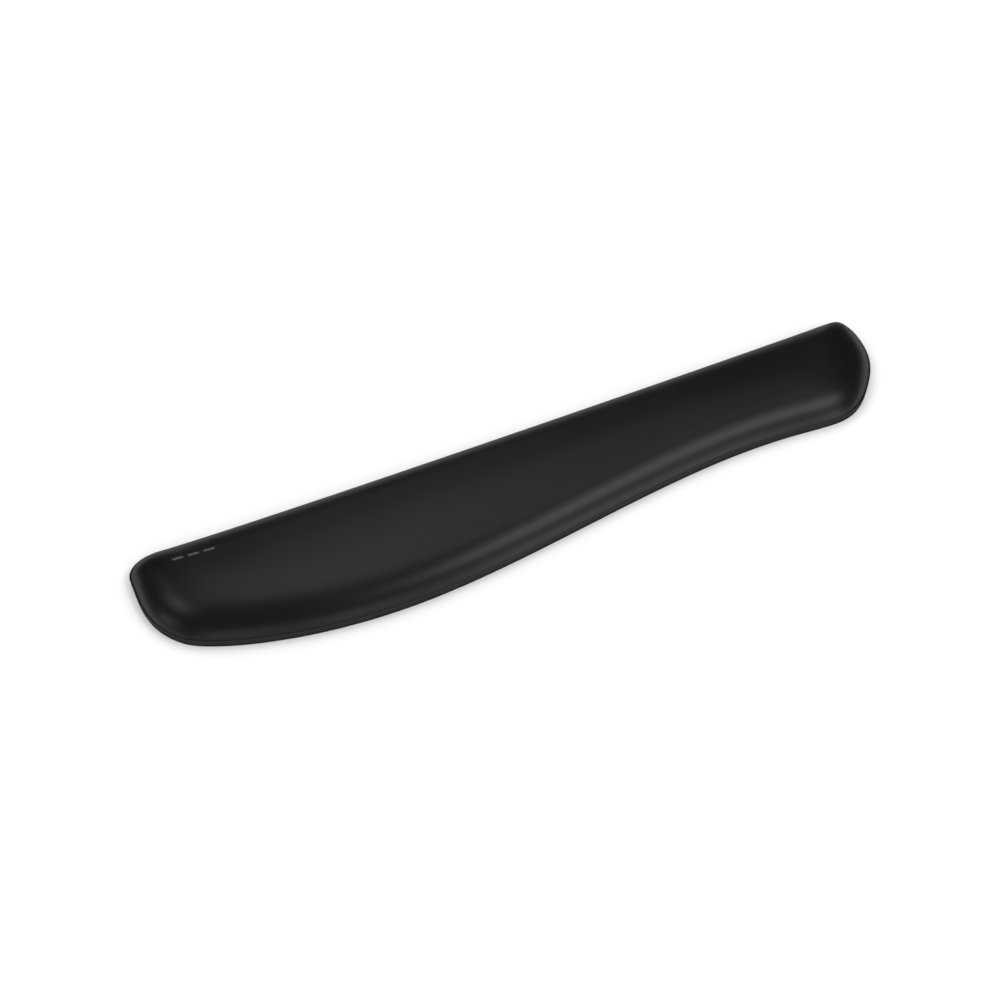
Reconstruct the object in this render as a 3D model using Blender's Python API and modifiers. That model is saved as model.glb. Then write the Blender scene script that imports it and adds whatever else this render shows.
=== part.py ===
"""Gel wrist rest for a full-size keyboard, built up in layers like the real pad.

A thermoformed soft-touch skin with a narrow foot flange is bonded to a rigid base board.
Under the skin lie a gel pad sealed between two films and a slab of foam. A rubber mat
under the board stops the pad from sliding. Everything is bonded, so nothing moves.

Frame: metres, +X along the length to the right, +Y towards the keyboard, +Z up.
The origin is on the desk, under the middle of the plan's box.
"""
import math

import bmesh
import bpy
import numpy as np
from mathutils import Vector
from mathutils.geometry import interpolate_bezier

MM = 0.001

# Plan outline as Bezier knots in mm, anticlockwise from the right end:
# name: (x, y, heading in degrees, reach before, reach after).
# The back edge is nearly straight. The front edge swells under the left palm, narrows
# at the waist and swells again before the right end.
KNOTS = {
    "right_end": (220, -11, 90, 12.5, 16),
    "back_right": (204.5, 5, 182, 8.5, 36),
    "back_left": (-199.5, 4, 176.7, 59.5, 14),
    "left_end": (-220, -8, -90, 5, 12),
    "front_left_sweep": (-206, -57, -42, 24, 11.5),
    "palm_swell": (-91.5, -82.5, 0, 62, 67.5),
    "waist": (127.5, -60, 0, 70, 26.5),
    "right_bulge": (177, -62.5, 0, 14.5, 14.5),
    "right_nose": (209, -43, 51, 13.5, 12.5),
}

# Heights of the whole pad and of its layers.
HEIGHT = 17 * MM
GAP = 0.3 * MM
MAT_THICK = 0.8 * MM
GLUE_THICK = 0.2 * MM
BOARD_THICK = 1.3 * MM
SKIN_THICK = 0.7 * MM
FOAM_THICK = 3.8 * MM
BACKING_THICK = 0.2 * MM
FILM_THICK = 0.3 * MM

# Section of the skin's outer face. A small concave fillet turns up from the flange. A
# tight arc then a wider one carry the face over, each from a steeper slope to a flatter
# one, and the crown goes on from the last slope.
FLANGE_END = 0.5 * MM
FILLET_RADIUS = 0.5 * MM
FOOT_SLOPE = math.radians(62)
SHOULDER_RADIUS = 19 * MM
SHOULDER_SLOPE = math.radians(26)
HAUNCH_RADIUS = 32 * MM
HAUNCH_SLOPE = math.radians(8)

# Past the flange, the section's rings are eased round the tight corners, over a length
# that grows with their inset.
EASE_SHARE = 0.55

# How far each sheet's edge is set back from the outline. The skin's flange overhangs them.
EDGE_INSET = 0.2 * MM
GLUE_INSET = 1.6 * MM

# The spine, where the two sides of a dome meet, stops short of the tips.
SPINE_SETBACK = 36 * MM
SPINE_BEND_X = 130 * MM

# Rows of faces along the length, round each arc of the section and up the crown.
STATIONS = 32
CURVE_STEPS = 60
FILLET_STEPS = 3
SHOULDER_STEPS = 5
HAUNCH_STEPS = 2
CROWN_SHARES = (0.3, 0.6, 0.88)

# Heights worked out from the layers, from the desk up.
MAT_GLUE_Z = MAT_THICK + GAP
BOARD_Z = MAT_GLUE_Z + GLUE_THICK + GAP
DECK_GLUE_Z = BOARD_Z + BOARD_THICK + GAP
DECK_Z = DECK_GLUE_Z + GLUE_THICK + GAP
FLANGE_TOP_Z = DECK_Z + SKIN_THICK
FOAM_TOP_Z = DECK_Z + FOAM_THICK
BACKING_Z = FOAM_TOP_Z + GAP
GEL_Z = BACKING_Z + BACKING_THICK + GAP

# How deep each dome lies under the skin's outer face.
FILM_DEPTH = SKIN_THICK + GAP
GEL_DEPTH = FILM_DEPTH + FILM_THICK + GAP


def clear_scene():
    """Remove the objects of the open file."""
    for old in list(bpy.data.objects):
        bpy.data.objects.remove(old, do_unlink=True)


def heading_vector(degrees):
    """Unit vector in the plan for a heading."""
    angle = math.radians(degrees)
    return Vector((math.cos(angle), math.sin(angle)))


def dense_outline():
    """Closed outline as many points, centred on its box, with outward normals."""
    knots = list(KNOTS.values())
    points = []
    for start, end in zip(knots, knots[1:] + knots[:1]):
        first = Vector(start[:2])
        last = Vector(end[:2])
        leave = first + heading_vector(start[2]) * start[4]
        arrive = last - heading_vector(end[2]) * end[3]
        points += interpolate_bezier(first, leave, arrive, last, CURVE_STEPS + 1)[:-1]
    points = np.array([tuple(point) for point in points]) * MM
    points -= (points.min(axis=0) + points.max(axis=0)) / 2
    tangents = np.roll(points, -1, axis=0) - np.roll(points, 1, axis=0)
    tangents /= np.linalg.norm(tangents, axis=1)[:, None]
    normals = np.column_stack((tangents[:, 1], -tangents[:, 0]))
    return points, normals


def split_at_tips(points, normals):
    """The outline's back and front runs, each from the left tip to the right tip."""
    right = int(points[:, 0].argmax())
    points = np.roll(points, -right, axis=0)
    normals = np.roll(normals, -right, axis=0)
    left = int(points[:, 0].argmin())
    back = (points[:left + 1][::-1], normals[:left + 1][::-1])
    front = (np.vstack((points[left:], points[:1])), np.vstack((normals[left:], normals[:1])))
    return back, front


def sample_run(run, stations):
    """Points and normals of a run at the given stations along X."""
    points, normals = run
    places = [np.interp(stations, points[:, 0], column) for column in points.T]
    facings = [np.interp(stations, points[:, 0], column) for column in normals.T]
    facings = np.column_stack(facings)
    facings /= np.linalg.norm(facings, axis=1)[:, None]
    return np.column_stack(places), facings


def plan_rays():
    """Outline points, the rays that inset them, and their places on the spine.

    The points go round from the left tip along the front and back along the keyboard
    side. Stations close up towards the tips. A ray moves a point inwards by one metre of
    inset, measured square to the outline, and heads for the point's place on the spine.
    """
    back, front = split_at_tips(*dense_outline())
    tip = back[0][-1, 0]
    angles = np.linspace(0, math.pi, STATIONS + 1)
    stations = -tip * np.cos(angles)
    front_points, front_normals = sample_run(front, stations)
    back_points, back_normals = sample_run(back, stations)
    points = np.vstack((front_points, back_points[-2:0:-1]))
    normals = np.vstack((front_normals, back_normals[-2:0:-1]))
    normals[0] = (-1, 0)
    normals[STATIONS] = (1, 0)
    past_bend = np.clip(np.abs(stations) - SPINE_BEND_X, 0, None) / (tip - SPINE_BEND_X)
    spine_x = stations - np.sign(stations) * SPINE_SETBACK * past_bend ** 2
    front_y = np.interp(spine_x, *front[0].T)
    back_y = np.interp(spine_x, *back[0].T)
    spine = np.column_stack((spine_x, (front_y + back_y) / 2))
    spine = np.vstack((spine, spine[-2:0:-1]))
    towards = spine - points
    rays = towards / -np.sum(towards * normals, axis=1)[:, None]
    return points, rays, spine


def eased(ring, reach):
    """A closed ring with its corners eased over a length of about `reach`.

    Easing once draws the corners in, so most of what the first pass took is given back.
    """
    steps = np.linalg.norm(np.roll(ring, -1, axis=0) - ring, axis=1)
    along = np.concatenate(((0,), np.cumsum(steps)[:-1]))
    apart = np.abs(along[:, None] - along)
    apart = np.minimum(apart, steps.sum() - apart)
    weights = np.exp(-0.5 * (apart / reach) ** 2) * (steps + np.roll(steps, 1))
    weights /= weights.sum(axis=1)[:, None]
    once = weights @ ring
    return 2 * once - weights @ once


def inset_ring(inset, plan):
    """The outline set back by `inset`, as a flat closed ring."""
    outline, rays, _ = plan
    ring = outline + rays * inset
    beyond = inset - FLANGE_END
    return eased(ring, beyond * EASE_SHARE) if beyond > 0 else ring


def arc(foot, radius, last_slope, steps):
    """Arc of the section that goes on from `foot`, as (inset, height, slope).

    A negative radius makes the arc concave.
    """
    inset, height, first_slope = foot
    centre_inset = inset + radius * math.sin(first_slope)
    centre_z = height - radius * math.cos(first_slope)
    slopes = np.linspace(first_slope, last_slope, steps + 1)[1:]
    return [(centre_inset - radius * math.sin(slope), centre_z + radius * math.cos(slope), slope)
            for slope in slopes]


def section(depth):
    """Section (inset, height) of the face that lies `depth` under the skin's outer face.

    It runs from the flange's edge to the end of the haunch.
    """
    points = [(0, FLANGE_TOP_Z, 0), (FLANGE_END, FLANGE_TOP_Z, 0)]
    points += arc(points[-1], -FILLET_RADIUS, FOOT_SLOPE, FILLET_STEPS)
    points += arc(points[-1], SHOULDER_RADIUS, SHOULDER_SLOPE, SHOULDER_STEPS)
    points += arc(points[-1], HAUNCH_RADIUS, HAUNCH_SLOPE, HAUNCH_STEPS)
    return [(inset + depth * math.sin(slope), height - depth * math.cos(slope))
            for inset, height, slope in points]


def inset_at(points, height):
    """Inset of a section at a height."""
    insets, heights = zip(*points)
    return float(np.interp(height, heights, insets))


def cut_section(depth, floor, ceiling=math.inf):
    """The part of a section that lies between two heights."""
    points = section(depth)
    cut = [(inset_at(points, floor), floor)]
    cut += [point for point in points if floor + GAP < point[1] < ceiling - GAP]
    if ceiling < points[-1][1]:
        cut.append((inset_at(points, ceiling), ceiling))
    return cut


def section_rings(points, plan):
    """Rings of 3-D points: the section swept round the outline."""
    rings = [(inset_ring(inset, plan), height) for inset, height in points]
    return [np.column_stack((ring, np.full(len(ring), height))) for ring, height in rings]


def dome_rings(points, depth, plan):
    """The section's rings with the crown's rings added, up to the spine."""
    rings = section_rings(points, plan)
    spine = plan[2]
    haunch = rings[-1]
    for share in CROWN_SHARES:
        flat = haunch[:, :2] + (spine - haunch[:, :2]) * share
        rise = (HEIGHT - depth - haunch[0, 2]) * (1 - (1 - share) ** 2)
        rings.append(np.column_stack((flat, haunch[:, 2] + rise)))
    return rings


def zip_faces(ring, upwards):
    """Faces that close a ring by joining each front station to the back one."""
    count = len(ring)
    faces = []
    for i in range(count // 2):
        j = (count - i) % count
        face = [ring[i], ring[i + 1], ring[j - 1], ring[j]]
        if i == 0:
            face = [ring[0], ring[1], ring[-1]]
        elif i == count // 2 - 1:
            face = [ring[i], ring[i + 1], ring[j]]
        faces.append(face if upwards else face[::-1])
    return faces


def loft(name, rings, closed_below):
    """Mesh through the rings, from the lowest, closed across the top."""
    work = bmesh.new()
    loops = [[work.verts.new(point) for point in ring] for ring in rings]
    for low, high in zip(loops, loops[1:]):
        for i in range(len(low)):
            j = (i + 1) % len(low)
            work.faces.new((low[i], low[j], high[j], high[i]))
    for face in zip_faces(loops[-1], upwards=True):
        work.faces.new(face)
    if closed_below:
        for face in zip_faces(loops[0], upwards=False):
            work.faces.new(face)
    mesh = bpy.data.meshes.new(name)
    work.to_mesh(mesh)
    work.free()
    mesh.shade_smooth()
    return bpy.data.objects.new(name, mesh)


def shell(name, rings, thickness):
    """Dome of even thickness, open below, whose outer face passes through the rings."""
    dome = loft(name, rings, closed_below=False)
    solidify = dome.modifiers.new("wall", "SOLIDIFY")
    solidify.thickness = thickness
    solidify.offset = -1
    solidify.use_even_offset = True
    solidify.use_rim = True
    return dome


def sheet(name, inset, bottom, thickness, plan):
    """Flat sheet cut to the outline, its edge set back by `inset`."""
    curve = bpy.data.curves.new(name, "CURVE")
    curve.dimensions = "2D"
    curve.fill_mode = "BOTH"
    curve.extrude = thickness / 2
    edge = inset_ring(inset, plan)
    spline = curve.splines.new("POLY")
    spline.points.add(len(edge) - 1)
    for point, (x, y) in zip(spline.points, edge):
        point.co = (x, y, 0, 1)
    spline.use_cyclic_u = True
    flat = bpy.data.objects.new(name, curve)
    flat.location.z = bottom + thickness / 2
    return flat


def add_material(part, colour, roughness, metallic=0.0):
    """Give a part its own Principled BSDF material."""
    material = bpy.data.materials.new(part.name)
    material.use_nodes = True
    shader = material.node_tree.nodes["Principled BSDF"]
    shader.inputs["Base Color"].default_value = (*colour, 1)
    shader.inputs["Roughness"].default_value = roughness
    shader.inputs["Metallic"].default_value = metallic
    part.data.materials.append(material)


def grip_mat(plan):
    """Non-slip rubber sheet that the pad stands on."""
    mat = sheet("grip_mat", EDGE_INSET, 0, MAT_THICK, plan)
    add_material(mat, (0.015, 0.015, 0.016), 0.85)
    return mat


def mat_adhesive(plan):
    """Film of glue between the mat and the board."""
    film = sheet("mat_adhesive", GLUE_INSET, MAT_GLUE_Z, GLUE_THICK, plan)
    add_material(film, (0.60, 0.52, 0.36), 0.4)
    return film


def base_board(plan):
    """Rigid board whose edge is the lip round the foot of the pad."""
    board = sheet("base_board", EDGE_INSET, BOARD_Z, BOARD_THICK, plan)
    add_material(board, (0.020, 0.020, 0.021), 0.6)
    return board


def deck_adhesive(plan):
    """Film of glue that holds the foam and the skin's flange to the board."""
    film = sheet("deck_adhesive", GLUE_INSET, DECK_GLUE_Z, GLUE_THICK, plan)
    add_material(film, (0.60, 0.52, 0.36), 0.4)
    return film


def foam_core(plan):
    """Slab of firm foam under the gel, its edge bevelled to the skin's wall."""
    rings = section_rings(cut_section(FILM_DEPTH, DECK_Z, FOAM_TOP_Z), plan)
    slab = loft("foam_core", rings, closed_below=True)
    add_material(slab, (0.10, 0.10, 0.11), 0.95)
    return slab


def gel_backing_film(plan):
    """Flat film that the gel is cast on."""
    inset = inset_at(section(FILM_DEPTH), BACKING_Z + BACKING_THICK)
    film = sheet("gel_backing_film", inset, BACKING_Z, BACKING_THICK, plan)
    add_material(film, (0.70, 0.74, 0.78), 0.3)
    return film


def gel_pad(plan):
    """Block of soft gel with a flat underside and a domed top."""
    rings = dome_rings(cut_section(GEL_DEPTH, GEL_Z), GEL_DEPTH, plan)
    gel = loft("gel_pad", rings, closed_below=True)
    add_material(gel, (0.35, 0.50, 0.62), 0.15)
    return gel


def gel_top_film(plan):
    """Formed film over the gel, which keeps it from sweating into the skin."""
    rings = dome_rings(cut_section(FILM_DEPTH, GEL_Z), FILM_DEPTH, plan)
    film = shell("gel_top_film", rings, FILM_THICK)
    add_material(film, (0.70, 0.74, 0.78), 0.3)
    return film


def cover_skin(plan):
    """Soft-touch skin, formed in one piece with its foot flange."""
    skin = shell("cover_skin", dome_rings(section(0), 0, plan), SKIN_THICK)
    add_material(skin, (0.022, 0.022, 0.023), 0.5)
    return skin


def build():
    """Make every piece, in bonding order, on one empty at the origin."""
    clear_scene()
    plan = plan_rays()
    parts = bpy.data.collections.new("wrist_rest")
    bpy.context.scene.collection.children.link(parts)
    frame = bpy.data.objects.new("wrist_rest_frame", None)
    parts.objects.link(frame)
    makers = (grip_mat, mat_adhesive, base_board, deck_adhesive, foam_core,
              gel_backing_film, gel_pad, gel_top_film, cover_skin)
    for make in makers:
        part = make(plan)
        parts.objects.link(part)
        part.parent = frame


build()
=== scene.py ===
"""Finished look of the gel wrist rest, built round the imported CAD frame.

Metres, +X along the length to the right, +Y towards the keyboard, +Z up.
"""
import math

import bmesh
import bpy
import numpy as np
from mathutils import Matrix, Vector
from mathutils.geometry import interpolate_bezier


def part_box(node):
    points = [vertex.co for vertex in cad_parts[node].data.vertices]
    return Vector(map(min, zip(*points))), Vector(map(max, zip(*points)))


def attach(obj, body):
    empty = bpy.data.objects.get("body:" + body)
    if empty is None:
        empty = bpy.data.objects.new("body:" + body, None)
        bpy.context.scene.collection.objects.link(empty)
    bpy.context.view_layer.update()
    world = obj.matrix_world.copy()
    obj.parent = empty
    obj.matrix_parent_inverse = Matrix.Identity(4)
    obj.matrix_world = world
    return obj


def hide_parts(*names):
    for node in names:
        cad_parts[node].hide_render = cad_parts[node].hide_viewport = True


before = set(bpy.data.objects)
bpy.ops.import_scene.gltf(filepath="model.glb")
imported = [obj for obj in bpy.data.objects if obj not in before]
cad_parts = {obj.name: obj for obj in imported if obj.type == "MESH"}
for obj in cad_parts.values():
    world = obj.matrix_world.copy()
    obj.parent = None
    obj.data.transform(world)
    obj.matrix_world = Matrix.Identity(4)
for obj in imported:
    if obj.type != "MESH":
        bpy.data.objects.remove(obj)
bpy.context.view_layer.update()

MM = 0.001

# Plan outline, as in the CAD source: x, y, heading, reach before, reach after, in mm.
KNOTS = {
    "right_end": (220, -11, 90, 12.5, 16),
    "back_right": (204.5, 5, 182, 8.5, 36),
    "back_left": (-199.5, 4, 176.7, 59.5, 14),
    "left_end": (-220, -8, -90, 5, 12),
    "front_left_sweep": (-206, -57, -42, 24, 11.5),
    "palm_swell": (-91.5, -82.5, 0, 62, 67.5),
    "waist": (127.5, -60, 0, 70, 26.5),
    "right_bulge": (177, -62.5, 0, 14.5, 14.5),
    "right_nose": (209, -43, 51, 13.5, 12.5),
}

# Heights read from the frame.
MAT_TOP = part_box("grip_mat")[1].z
BOARD_BOTTOM, BOARD_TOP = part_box("base_board")[0].z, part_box("base_board")[1].z
FLANGE_BOTTOM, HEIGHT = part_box("cover_skin")[0].z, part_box("cover_skin")[1].z
BACKING_BOTTOM, BACKING_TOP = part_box("gel_backing_film")[0].z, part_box("gel_backing_film")[1].z
GEL_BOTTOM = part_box("gel_pad")[0].z
FOAM_BOTTOM, FOAM_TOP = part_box("foam_core")[0].z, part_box("foam_core")[1].z

# Section of the skin's outer face: flange, small concave fillet, shoulder, haunch, crown.
SKIN_THICK = 0.7 * MM
FILM_THICK = 0.3 * MM
GAP = 0.3 * MM
FLANGE_TOP = FLANGE_BOTTOM + SKIN_THICK
FLANGE_ROUND = 0.2 * MM
FLANGE_END = 0.5 * MM
FILLET_RADIUS = 0.5 * MM
FOOT_SLOPE = math.radians(62)
SHOULDER_RADIUS = 19 * MM
SHOULDER_SLOPE = math.radians(26)
HAUNCH_RADIUS = 32 * MM
HAUNCH_SLOPE = math.radians(8)
FILM_DEPTH = SKIN_THICK + GAP
GEL_DEPTH = FILM_DEPTH + FILM_THICK + GAP

# Rim moulded round the board: it stands a little proud of the plate above and below, and
# the skin's flange overhangs it. Its inner wall leans in by RIM_STEP.
RIM_INSET = 0.2 * MM
RIM_WIDTH = 1.0 * MM
RIM_BOTTOM = BOARD_BOTTOM - 0.6 * MM
RIM_TOP = BOARD_TOP + 0.5 * MM
RIM_ROUND = 0.3 * MM
RIM_STEP = 0.1 * MM
MAT_INSET = 0.2 * MM
MAT_ROUND = 0.15 * MM

# The flat faces of the board and the mat start this far inside their edge profile.
SLAB_MARGIN = 1.5 * MM

# The spine, where the two sides of a dome meet, stops short of the tips.
SPINE_SETBACK = 36 * MM
SPINE_BEND_X = 130 * MM

# Past the flange, the section's rings are eased round the tight corners, over a length
# that grows with their inset.
EASE_SHARE = 0.55

# Rows of faces along the length, round each arc of the section and up the crown. The
# crown's last ring stops a little short of the spine.
STATIONS = 110
CURVE_STEPS = 200
FILLET_STEPS = 8
SHOULDER_STEPS = 18
HAUNCH_STEPS = 8
CROWN_STEPS = 14
CROWN_END = 0.94
CORNER_STEPS = 5

# Plain printed mark at the back left of the top: three short dashes in a row.
MARK_CENTRE = (-185.5 * MM, 24.5 * MM)
MARK_TURN = math.radians(-3.5)
DASH_COUNT = 3
DASH_LENGTH = 6.2 * MM
DASH_WIDTH = 1.7 * MM
DASH_PITCH = 8.4 * MM
DASH_SOFTNESS = 0.12 * MM
INK = (0.06, 0.06, 0.062, 1)


# ---------------------------------------------------------------- plan and section

def heading_vector(degrees):
    """Unit vector in the plan for a heading."""
    angle = math.radians(degrees)
    return Vector((math.cos(angle), math.sin(angle)))


def dense_outline():
    """Closed outline as many points, centred on its box, with outward normals."""
    knots = list(KNOTS.values())
    points = []
    for start, end in zip(knots, knots[1:] + knots[:1]):
        first = Vector(start[:2])
        last = Vector(end[:2])
        leave = first + heading_vector(start[2]) * start[4]
        arrive = last - heading_vector(end[2]) * end[3]
        points += interpolate_bezier(first, leave, arrive, last, CURVE_STEPS + 1)[:-1]
    points = np.array([tuple(point) for point in points]) * MM
    points -= (points.min(axis=0) + points.max(axis=0)) / 2
    tangents = np.roll(points, -1, axis=0) - np.roll(points, 1, axis=0)
    tangents /= np.linalg.norm(tangents, axis=1)[:, None]
    return points, np.column_stack((tangents[:, 1], -tangents[:, 0]))


def split_at_tips(points, normals):
    """The outline's back and front runs, each from the left tip to the right tip."""
    right = int(points[:, 0].argmax())
    points = np.roll(points, -right, axis=0)
    normals = np.roll(normals, -right, axis=0)
    left = int(points[:, 0].argmin())
    back = (points[:left + 1][::-1], normals[:left + 1][::-1])
    front = (np.vstack((points[left:], points[:1])), np.vstack((normals[left:], normals[:1])))
    return back, front


def sample_run(run, stations):
    """Points and normals of a run at the given stations along X."""
    points, normals = run
    places = [np.interp(stations, points[:, 0], column) for column in points.T]
    facings = np.column_stack([np.interp(stations, points[:, 0], column) for column in normals.T])
    facings /= np.linalg.norm(facings, axis=1)[:, None]
    return np.column_stack(places), facings


def eased(ring, reach):
    """A closed ring with its corners eased over a length of about `reach`.

    Easing once draws the corners in, so most of what the first pass took is given back.
    """
    steps = np.linalg.norm(np.roll(ring, -1, axis=0) - ring, axis=1)
    along = np.concatenate(((0,), np.cumsum(steps)[:-1]))
    apart = np.abs(along[:, None] - along)
    apart = np.minimum(apart, steps.sum() - apart)
    weights = np.exp(-0.5 * (apart / reach) ** 2) * (steps + np.roll(steps, 1))
    weights /= weights.sum(axis=1)[:, None]
    once = weights @ ring
    return 2 * once - weights @ once


class Plan:
    """Outline points, the rays that inset them, and their places on the spine.

    The points go round from the left tip along the front and back along the keyboard
    side. A ray moves a point inwards by one metre of inset, measured square to the
    outline, and heads for the point's place on the spine.
    """

    def __init__(self, count):
        back, front = split_at_tips(*dense_outline())
        tip = back[0][-1, 0]
        stations = -tip * np.cos(np.linspace(0, math.pi, count + 1))
        front_points, front_normals = sample_run(front, stations)
        back_points, back_normals = sample_run(back, stations)
        points = np.vstack((front_points, back_points[-2:0:-1]))
        normals = np.vstack((front_normals, back_normals[-2:0:-1]))
        normals[0] = (-1, 0)
        normals[count] = (1, 0)
        past_bend = np.clip(np.abs(stations) - SPINE_BEND_X, 0, None) / (tip - SPINE_BEND_X)
        spine_x = stations - np.sign(stations) * SPINE_SETBACK * past_bend ** 2
        front_y = np.interp(spine_x, *front[0].T)
        back_y = np.interp(spine_x, *back[0].T)
        spine = np.column_stack((spine_x, (front_y + back_y) / 2))
        spine = np.vstack((spine, spine[-2:0:-1]))
        towards = spine - points
        self.outline = points
        self.rays = towards / -np.sum(towards * normals, axis=1)[:, None]
        self.spine = spine

    def ring(self, inset, height):
        """3-D points of the outline set back by `inset`, at one height."""
        flat = self.outline + self.rays * inset
        if inset > FLANGE_END:
            flat = eased(flat, (inset - FLANGE_END) * EASE_SHARE)
        return np.column_stack((flat, np.full(len(flat), height)))


def round_corner(centre, radius, start, end):
    """Points round a corner of a profile, as (inset, height), between two angles."""
    angles = np.radians(np.linspace(start, end, CORNER_STEPS + 1))
    return [(centre[0] + radius * math.cos(a), centre[1] + radius * math.sin(a)) for a in angles]


def arc(foot, radius, last_slope, steps):
    """Arc of the section that goes on from `foot`, as (inset, height, slope).

    A negative radius makes the arc concave.
    """
    inset, height, first_slope = foot
    centre_inset = inset + radius * math.sin(first_slope)
    centre_z = height - radius * math.cos(first_slope)
    slopes = np.linspace(first_slope, last_slope, steps + 1)[1:]
    return [(centre_inset - radius * math.sin(slope), centre_z + radius * math.cos(slope), slope)
            for slope in slopes]


def dome_section(depth):
    """Section (inset, height) of the face `depth` under the skin's outer face.

    It runs from the end of the flange to the end of the haunch.
    """
    points = [(FLANGE_END, FLANGE_TOP, 0)]
    points += arc(points[-1], -FILLET_RADIUS, FOOT_SLOPE, FILLET_STEPS)
    points += arc(points[-1], SHOULDER_RADIUS, SHOULDER_SLOPE, SHOULDER_STEPS)
    points += arc(points[-1], HAUNCH_RADIUS, HAUNCH_SLOPE, HAUNCH_STEPS)
    return [(inset + depth * math.sin(slope), height - depth * math.cos(slope))
            for inset, height, slope in points]


def inset_at(points, height):
    """Inset of a section at a height."""
    insets, heights = zip(*points)
    return float(np.interp(height, heights, insets))


def cut_section(depth, floor, ceiling=math.inf):
    """The part of a section that lies between two heights."""
    points = dome_section(depth)
    cut = [(inset_at(points, floor), floor)]
    cut += [point for point in points if floor + GAP < point[1] < ceiling - GAP]
    if ceiling < points[-1][1]:
        cut.append((inset_at(points, ceiling), ceiling))
    return cut


def crown_rings(plan, haunch, depth):
    """Rings from the haunch's end to the spine.

    The rise is a cubic that starts on the haunch's slope and is level at the spine.
    """
    reach = np.linalg.norm(plan.spine - haunch[:, :2], axis=1)
    start_slope = math.tan(HAUNCH_SLOPE) * reach
    rise = HEIGHT - depth - haunch[0, 2]
    rings = []
    for share in np.linspace(0, CROWN_END, CROWN_STEPS + 1)[1:]:
        flat = haunch[:, :2] + (plan.spine - haunch[:, :2]) * share
        lift = (share ** 3 - 2 * share ** 2 + share) * start_slope
        lift = lift + (3 * share ** 2 - 2 * share ** 3) * rise
        rings.append(np.column_stack((flat, haunch[:, 2] + lift)))
    return rings


def dome_rings(plan, section, depth):
    """All the rings of a dome, from its foot to the spine."""
    rings = [plan.ring(inset, height) for inset, height in section]
    return rings + crown_rings(plan, rings[-1], depth)


# ---------------------------------------------------------------- meshes

def zip_faces(ring, upwards):
    """Faces that close a ring by joining each front station to the back one."""
    count = len(ring)
    faces = []
    for i in range(count // 2):
        j = (count - i) % count
        face = [ring[i], ring[i + 1], ring[j - 1], ring[j]]
        if i == 0:
            face = [ring[0], ring[1], ring[-1]]
        elif i == count // 2 - 1:
            face = [ring[i], ring[i + 1], ring[j]]
        faces.append(face if upwards else face[::-1])
    return faces


def loft(name, rings):
    """Smooth closed mesh through the rings, in order from its first cap to its last."""
    work = bmesh.new()
    loops = [[work.verts.new(point) for point in ring] for ring in rings]
    for low, high in zip(loops, loops[1:]):
        for i in range(len(low)):
            j = (i + 1) % len(low)
            work.faces.new((low[i], low[j], high[j], high[i]))
    for face in zip_faces(loops[-1], upwards=True) + zip_faces(loops[0], upwards=False):
        work.faces.new(face)
    mesh = bpy.data.meshes.new(name)
    work.to_mesh(mesh)
    work.free()
    mesh.shade_smooth()
    piece = bpy.data.objects.new(name, mesh)
    bpy.context.scene.collection.objects.link(piece)
    return piece


def lipped_slab(name, plan, profile, bottom, top):
    """Slab whose edge follows a profile, with flat faces inside it."""
    inner = profile[0][0] + SLAB_MARGIN
    section = [(inner, bottom)] + profile + [(inner, top)]
    return loft(name, [plan.ring(*point) for point in section])


def rounded_edge(inset, bottom, top, radius):
    """Profile of an edge with a rounded bottom and top corner."""
    low = round_corner((inset + radius, bottom + radius), radius, -90, -180)
    high = round_corner((inset + radius, top - radius), radius, 180, 90)
    return low + high


def finish_piece(piece, material, node):
    """Material, slot, body and the CAD node that a piece stands for."""
    piece.data.materials.append(material)
    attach(piece, "root")
    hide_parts(node)
    return piece


# ---------------------------------------------------------------- materials

# Colour sockets of a Mix node, whose names aren't unique.
MIX_FIRST = 6
MIX_SECOND = 7
MIX_RESULT = 2

# Range in which a noise texture's values mostly lie.
NOISE_LOW = 0.3
NOISE_HIGH = 0.7


def new_material(name):
    """New node material, with its node tree and its Principled BSDF."""
    material = bpy.data.materials.new(name)
    material.use_nodes = True
    tree = material.node_tree
    return material, tree, tree.nodes["Principled BSDF"]


def noise(tree, scale, detail, roughness=0.5):
    """Noise texture in object coordinates; `scale` is in cells a metre."""
    coords = tree.nodes.new("ShaderNodeTexCoord")
    texture = tree.nodes.new("ShaderNodeTexNoise")
    texture.inputs["Scale"].default_value = scale
    texture.inputs["Detail"].default_value = detail
    texture.inputs["Roughness"].default_value = roughness
    tree.links.new(coords.outputs["Object"], texture.inputs["Vector"])
    return texture.outputs["Fac"]


def ramp(tree, source, low, high, start=NOISE_LOW, end=NOISE_HIGH):
    """Colour ramp between two colours, driven by a texture."""
    node = tree.nodes.new("ShaderNodeValToRGB")
    node.color_ramp.elements[0].position = start
    node.color_ramp.elements[1].position = end
    node.color_ramp.elements[0].color = (*low, 1)
    node.color_ramp.elements[1].color = (*high, 1)
    tree.links.new(source, node.inputs["Fac"])
    return node.outputs["Color"]


def spread(tree, source, low, high):
    """Texture value mapped to a range."""
    node = tree.nodes.new("ShaderNodeMapRange")
    node.inputs["From Min"].default_value = NOISE_LOW
    node.inputs["From Max"].default_value = NOISE_HIGH
    node.inputs["To Min"].default_value = low
    node.inputs["To Max"].default_value = high
    tree.links.new(source, node.inputs["Value"])
    return node.outputs["Result"]


def bump(tree, shader, source, strength, distance):
    """Fine relief on the shader's normal."""
    node = tree.nodes.new("ShaderNodeBump")
    node.inputs["Strength"].default_value = strength
    node.inputs["Distance"].default_value = distance
    tree.links.new(source, node.inputs["Height"])
    tree.links.new(node.outputs["Normal"], shader.inputs["Normal"])


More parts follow.
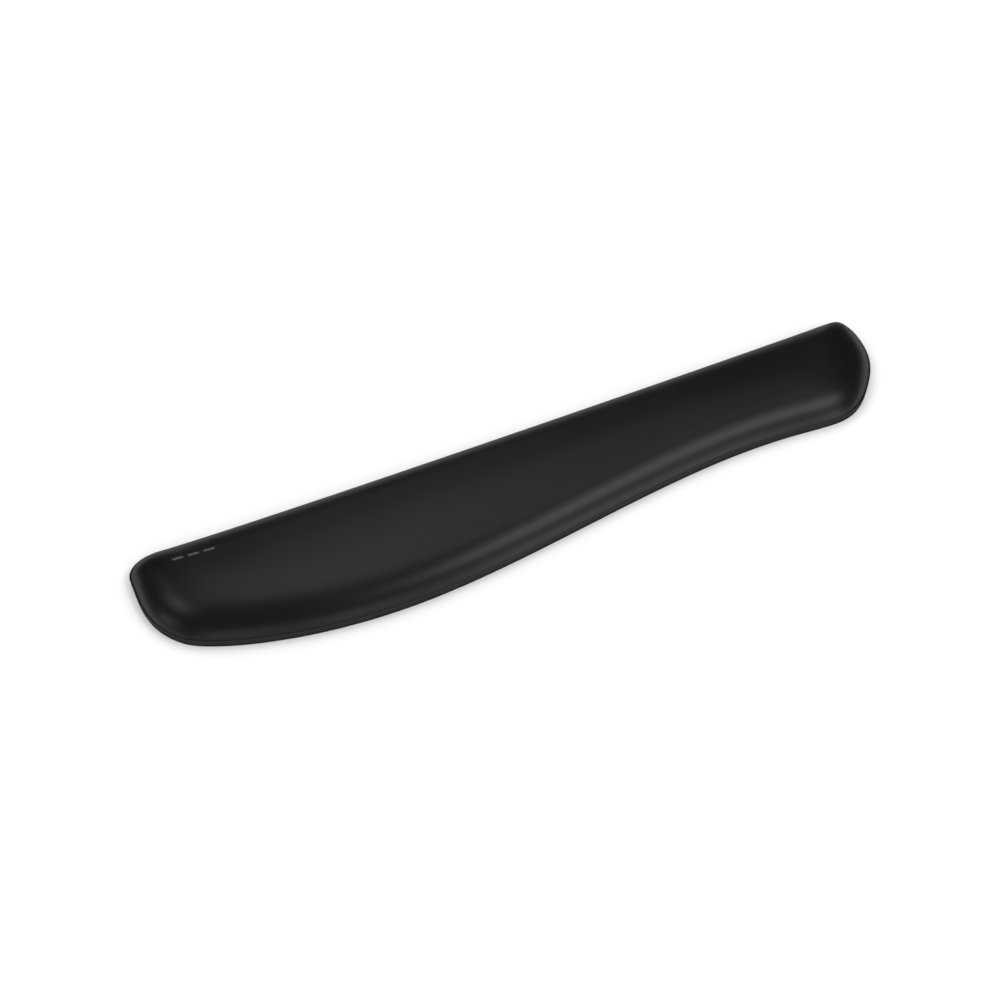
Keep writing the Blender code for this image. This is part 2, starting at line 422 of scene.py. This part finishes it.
def math_node(tree, operation, *values):
    """Result of a Math node on sockets or numbers."""
    node = tree.nodes.new("ShaderNodeMath")
    node.operation = operation
    for socket, value in zip(node.inputs, values):
        if isinstance(value, bpy.types.NodeSocket):
            tree.links.new(value, socket)
        else:
            socket.default_value = value
    return node.outputs["Value"]


def dash_mask(tree):
    """Mask of the printed mark, in object coordinates."""
    coords = tree.nodes.new("ShaderNodeTexCoord")
    place = tree.nodes.new("ShaderNodeMapping")
    place.vector_type = "TEXTURE"
    place.inputs["Location"].default_value = (*MARK_CENTRE, 0)
    place.inputs["Rotation"].default_value = (0, 0, MARK_TURN)
    split = tree.nodes.new("ShaderNodeSeparateXYZ")
    tree.links.new(coords.outputs["Object"], place.inputs["Vector"])
    tree.links.new(place.outputs["Vector"], split.inputs["Vector"])
    along, across = split.outputs["X"], split.outputs["Y"]
    from_middle = math_node(tree, "ABSOLUTE", along)
    in_row = math_node(tree, "LESS_THAN", from_middle, DASH_COUNT / 2 * DASH_PITCH)
    from_dash = math_node(tree, "WRAP", along, DASH_PITCH / 2, -DASH_PITCH / 2)
    past_bar = math_node(tree, "SUBTRACT", math_node(tree, "ABSOLUTE", from_dash),
                         (DASH_LENGTH - DASH_WIDTH) / 2)
    past_bar = math_node(tree, "MAXIMUM", past_bar, 0)
    squares = math_node(tree, "ADD", math_node(tree, "MULTIPLY", past_bar, past_bar),
                        math_node(tree, "MULTIPLY", across, across))
    edge = tree.nodes.new("ShaderNodeMapRange")
    edge.inputs["From Min"].default_value = DASH_WIDTH / 2 + DASH_SOFTNESS
    edge.inputs["From Max"].default_value = DASH_WIDTH / 2 - DASH_SOFTNESS
    tree.links.new(math_node(tree, "SQRT", squares), edge.inputs["Value"])
    return math_node(tree, "MULTIPLY", edge.outputs["Result"], in_row)


def mix_colour(tree, share, first, second):
    """Mix of a colour socket with a fixed colour."""
    node = tree.nodes.new("ShaderNodeMix")
    node.data_type = "RGBA"
    tree.links.new(share, node.inputs["Factor"])
    tree.links.new(first, node.inputs[MIX_FIRST])
    node.inputs[MIX_SECOND].default_value = second
    return node.outputs[MIX_RESULT]


def skin_material():
    """Black soft-touch skin: a dull base under a thin satin lacquer, very finely pebbled."""
    material, tree, shader = new_material("soft_touch_skin")
    tone = ramp(tree, noise(tree, 18, detail=4), (0.0032, 0.0032, 0.0034), (0.0050, 0.0050, 0.0052))
    tree.links.new(mix_colour(tree, dash_mask(tree), tone, INK), shader.inputs["Base Color"])
    tree.links.new(spread(tree, noise(tree, 60, detail=5), 0.56, 0.64), shader.inputs["Roughness"])
    shader.inputs["Specular IOR Level"].default_value = 0.0
    shader.inputs["Coat Weight"].default_value = 0.25
    shader.inputs["Coat Roughness"].default_value = 0.36
    shader.inputs["Coat IOR"].default_value = 2.6
    bump(tree, shader, noise(tree, 2600, detail=3, roughness=0.6), strength=0.12, distance=0.05 * MM)
    return material


def board_material():
    """Black moulded base with a matte edge."""
    material, tree, shader = new_material("base_board")
    tone = noise(tree, 40, detail=4)
    tree.links.new(ramp(tree, tone, (0.0130, 0.0130, 0.0134), (0.0190, 0.0190, 0.0194)),
                   shader.inputs["Base Color"])
    tree.links.new(spread(tree, noise(tree, 90, detail=4), 0.62, 0.74), shader.inputs["Roughness"])
    shader.inputs["Specular IOR Level"].default_value = 0.12
    bump(tree, shader, noise(tree, 1800, detail=3, roughness=0.6), strength=0.2, distance=0.05 * MM)
    return material


def rubber_material():
    """Dull black rubber of the mat."""
    material, tree, shader = new_material("grip_rubber")
    tone = noise(tree, 70, detail=5)
    tree.links.new(ramp(tree, tone, (0.0115, 0.0115, 0.0119), (0.0180, 0.0180, 0.0184)),
                   shader.inputs["Base Color"])
    tree.links.new(spread(tree, noise(tree, 150, detail=4), 0.80, 0.92), shader.inputs["Roughness"])
    shader.inputs["Specular IOR Level"].default_value = 0.05
    bump(tree, shader, noise(tree, 1500, detail=4, roughness=0.7), strength=0.4, distance=0.08 * MM)
    return material


def gel_material():
    """Clear, faintly blue gel with soft clouding."""
    material, tree, shader = new_material("gel")
    tree.links.new(ramp(tree, noise(tree, 30, detail=3), (0.30, 0.46, 0.60), (0.40, 0.56, 0.68)),
                   shader.inputs["Base Color"])
    tree.links.new(spread(tree, noise(tree, 80, detail=3), 0.10, 0.22), shader.inputs["Roughness"])
    shader.inputs["Transmission Weight"].default_value = 0.7
    shader.inputs["IOR"].default_value = 1.42
    bump(tree, shader, noise(tree, 120, detail=2), strength=0.1, distance=0.2 * MM)
    return material


def film_material():
    """Thin clear film with a slightly hazed face."""
    material, tree, shader = new_material("barrier_film")
    tree.links.new(ramp(tree, noise(tree, 45, detail=4), (0.62, 0.68, 0.74), (0.74, 0.78, 0.82)),
                   shader.inputs["Base Color"])
    tree.links.new(spread(tree, noise(tree, 160, detail=4), 0.22, 0.38), shader.inputs["Roughness"])
    bump(tree, shader, noise(tree, 400, detail=3), strength=0.15, distance=0.05 * MM)
    return material


def foam_material():
    """Dark open-cell foam."""
    material, tree, shader = new_material("foam")
    cells = tree.nodes.new("ShaderNodeTexVoronoi")
    coords = tree.nodes.new("ShaderNodeTexCoord")
    cells.inputs["Scale"].default_value = 1400
    tree.links.new(coords.outputs["Object"], cells.inputs["Vector"])
    tree.links.new(ramp(tree, cells.outputs["Distance"], (0.03, 0.03, 0.032),
                        (0.12, 0.12, 0.125), start=0.1, end=0.6), shader.inputs["Base Color"])
    tree.links.new(spread(tree, noise(tree, 200, detail=3), 0.88, 0.98), shader.inputs["Roughness"])
    bump(tree, shader, cells.outputs["Distance"], strength=0.8, distance=0.3 * MM)
    return material


def adhesive_material():
    """Amber film of glue, a little streaky."""
    material, tree, shader = new_material("adhesive")
    tree.links.new(ramp(tree, noise(tree, 60, detail=5), (0.48, 0.40, 0.26), (0.66, 0.58, 0.42)),
                   shader.inputs["Base Color"])
    tree.links.new(spread(tree, noise(tree, 130, detail=4), 0.30, 0.50), shader.inputs["Roughness"])
    bump(tree, shader, noise(tree, 300, detail=4), strength=0.3, distance=0.05 * MM)
    return material


# ---------------------------------------------------------------- pieces

def make_skin(plan):
    """Outer skin with its foot flange, as one closed shell."""
    inner = dome_rings(plan, dome_section(SKIN_THICK), SKIN_THICK)
    edge = rounded_edge(0, FLANGE_BOTTOM, FLANGE_TOP, FLANGE_ROUND)
    outer = dome_rings(plan, dome_section(0), 0)
    rings = inner[::-1] + [plan.ring(*point) for point in edge] + outer
    return loft("cover_skin_fine", rings)


def make_film(plan):
    """Formed film over the gel, as one closed shell."""
    inner_depth = FILM_DEPTH + FILM_THICK
    inner = dome_rings(plan, cut_section(inner_depth, GEL_BOTTOM), inner_depth)
    outer = dome_rings(plan, cut_section(FILM_DEPTH, GEL_BOTTOM), FILM_DEPTH)
    return loft("gel_top_film_fine", inner[::-1] + outer)


def make_gel(plan):
    """Block of gel, flat below and domed above."""
    rings = dome_rings(plan, cut_section(GEL_DEPTH, GEL_BOTTOM), GEL_DEPTH)
    return loft("gel_pad_fine", rings)


def make_foam(plan):
    """Foam slab, its edge bevelled to the skin's wall."""
    section = cut_section(FILM_DEPTH, FOAM_BOTTOM, FOAM_TOP)
    return loft("foam_core_fine", [plan.ring(*point) for point in section])


def make_backing(plan):
    """Flat film under the gel."""
    inset = inset_at(dome_section(FILM_DEPTH), BACKING_TOP)
    rings = [plan.ring(inset, BACKING_BOTTOM), plan.ring(inset, BACKING_TOP)]
    return loft("gel_backing_film_fine", rings)


def make_board(plan):
    """Board with a moulded rim that stands proud above and below."""
    rim_end = RIM_INSET + RIM_WIDTH
    step = rim_end + RIM_STEP
    profile = [(step, BOARD_BOTTOM), (rim_end, RIM_BOTTOM)]
    profile += rounded_edge(RIM_INSET, RIM_BOTTOM, RIM_TOP, RIM_ROUND)
    profile += [(rim_end, RIM_TOP), (step, BOARD_TOP)]
    return lipped_slab("base_board_fine", plan, profile, BOARD_BOTTOM, BOARD_TOP)


def make_mat(plan):
    """Rubber mat with a square lower edge and a softly rounded upper one."""
    profile = [(MAT_INSET, 0)]
    profile += round_corner((MAT_INSET + MAT_ROUND, MAT_TOP - MAT_ROUND), MAT_ROUND, 180, 90)
    return lipped_slab("grip_mat_fine", plan, profile, 0, MAT_TOP)


# ---------------------------------------------------------------- stage

FLOOR_SIZE = 40
FLOOR_COLOUR = (0.9, 0.9, 0.9, 1)

# Camera: what it looks at, where it stands (azimuth and elevation) and its optics in mm.
CAMERA_TARGET = (-18.9 * MM, 3.6 * MM, 0)
CAMERA_DIRECTION = (-24.4, 50)
CAMERA_DISTANCE = 1.1
CAMERA_LENS = 72.7
SENSOR_WIDTH = 36

# Softboxes: azimuth (0 is in front of the pad, 90 to its right), elevation, watts.
SOFTBOX_SIZE = 0.55
SOFTBOX_DISTANCE = 2.0
SOFTBOXES = {
    "strip_middle": (40, 56, 1.7),
    "strip_right": (60, 56, 1.95),
    "strip_low": (40, 44, 1.5),
    "front_right": (30, 20, 1.1),
    "front_right_low": (30, 8, 1.35),
    "front": (0, 20, 1.15),
    "front_left": (330, 20, 0.95),
    "left": (270, 20, 1.3),
    "left_high": (240, 56, 1.75),
    "back_right_high": (120, 67, 0.8),
    "back_right_top": (135, 78, 0.5),
    "back_middle": (160, 56, 1.05),
    "back_high": (180, 67, 0.75),
    "back_low": (168, 32, 0.45),
}

# Band of the room that gives most light, as the sines of its lowest and highest
# elevation. Under it the room is as pale as the far floor.
WORLD_BAND = (0.32, 0.78)
WORLD_FADE = 0.05
WORLD_LOW = 0.45
WORLD_STRENGTH = 1.8


def make_floor():
    """Plain pale floor."""
    bpy.ops.mesh.primitive_plane_add(size=FLOOR_SIZE)
    floor = bpy.context.object
    floor.name = "studio_floor"
    material, _, shader = new_material("studio_floor")
    shader.inputs["Base Color"].default_value = FLOOR_COLOUR
    shader.inputs["Roughness"].default_value = 0.9
    shader.inputs["Specular IOR Level"].default_value = 0.1
    floor.data.materials.append(material)


def direction(azimuth, elevation):
    """Unit vector at an azimuth and elevation in degrees; azimuth 0 is in front."""
    a = math.radians(azimuth)
    e = math.radians(elevation)
    return Vector((math.sin(a) * math.cos(e), -math.cos(a) * math.cos(e), math.sin(e)))


def make_camera():
    """Camera from the front left, looking down at the pad."""
    back = direction(*CAMERA_DIRECTION)
    data = bpy.data.cameras.new("camera")
    data.lens = CAMERA_LENS
    data.sensor_width = SENSOR_WIDTH
    data.clip_start = 0.05
    camera = bpy.data.objects.new("camera", data)
    camera.location = Vector(CAMERA_TARGET) + back * CAMERA_DISTANCE
    camera.rotation_mode = "QUATERNION"
    camera.rotation_quaternion = (-back).to_track_quat("-Z", "Y")
    bpy.context.scene.collection.objects.link(camera)
    bpy.context.scene.camera = camera


def make_softboxes():
    """Soft studio light from softboxes aimed at the pad."""
    for name, (azimuth, elevation, power) in SOFTBOXES.items():
        data = bpy.data.lights.new(name, "AREA")
        data.size = SOFTBOX_SIZE
        data.energy = power
        light = bpy.data.objects.new(name, data)
        away = direction(azimuth, elevation)
        light.location = away * SOFTBOX_DISTANCE
        light.rotation_mode = "QUATERNION"
        light.rotation_quaternion = away.to_track_quat("Z", "Y")
        bpy.context.scene.collection.objects.link(light)


def make_world():
    """Band of white light right round the room.

    It whitens the floor, gives the pad a soft contact shadow and isn't seen in the gloss.
    """
    world = bpy.data.worlds.new("studio")
    bpy.context.scene.world = world
    world.use_nodes = True
    tree = world.node_tree
    background = tree.nodes["Background"]
    coords = tree.nodes.new("ShaderNodeTexCoord")
    split = tree.nodes.new("ShaderNodeSeparateXYZ")
    tree.links.new(coords.outputs["Generated"], split.inputs["Vector"])
    band = tree.nodes.new("ShaderNodeValToRGB")
    low, high = WORLD_BAND
    stops = ((low - WORLD_FADE, WORLD_LOW), (low + WORLD_FADE, 1),
             (high - WORLD_FADE, 1), (high + WORLD_FADE, 0))
    while len(band.color_ramp.elements) < len(stops):
        band.color_ramp.elements.new(0.5)
    for element, (place, level) in zip(band.color_ramp.elements, stops):
        element.position = place
        element.color = (level, level, level, 1)
    tree.links.new(split.outputs["Z"], band.inputs["Fac"])
    tree.links.new(band.outputs["Color"], background.inputs["Color"])
    background.inputs["Strength"].default_value = WORLD_STRENGTH
    world.cycles_visibility.glossy = False


# ---------------------------------------------------------------- the whole scene

plan = Plan(STATIONS)
skin = finish_piece(make_skin(plan), skin_material(), "cover_skin")
gel = finish_piece(make_gel(plan), gel_material(), "gel_pad")
foam = finish_piece(make_foam(plan), foam_material(), "foam_core")
film = film_material()
finish_piece(make_film(plan), film, "gel_top_film")
finish_piece(make_backing(plan), film, "gel_backing_film")
finish_piece(make_board(plan), board_material(), "base_board")
finish_piece(make_mat(plan), rubber_material(), "grip_mat")
glue = adhesive_material()
for layer in ("mat_adhesive", "deck_adhesive"):
    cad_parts[layer].material_slots[0].material = glue
make_floor()
make_camera()
make_softboxes()
make_world()
bpy.context.scene.view_settings.view_transform = "Standard"
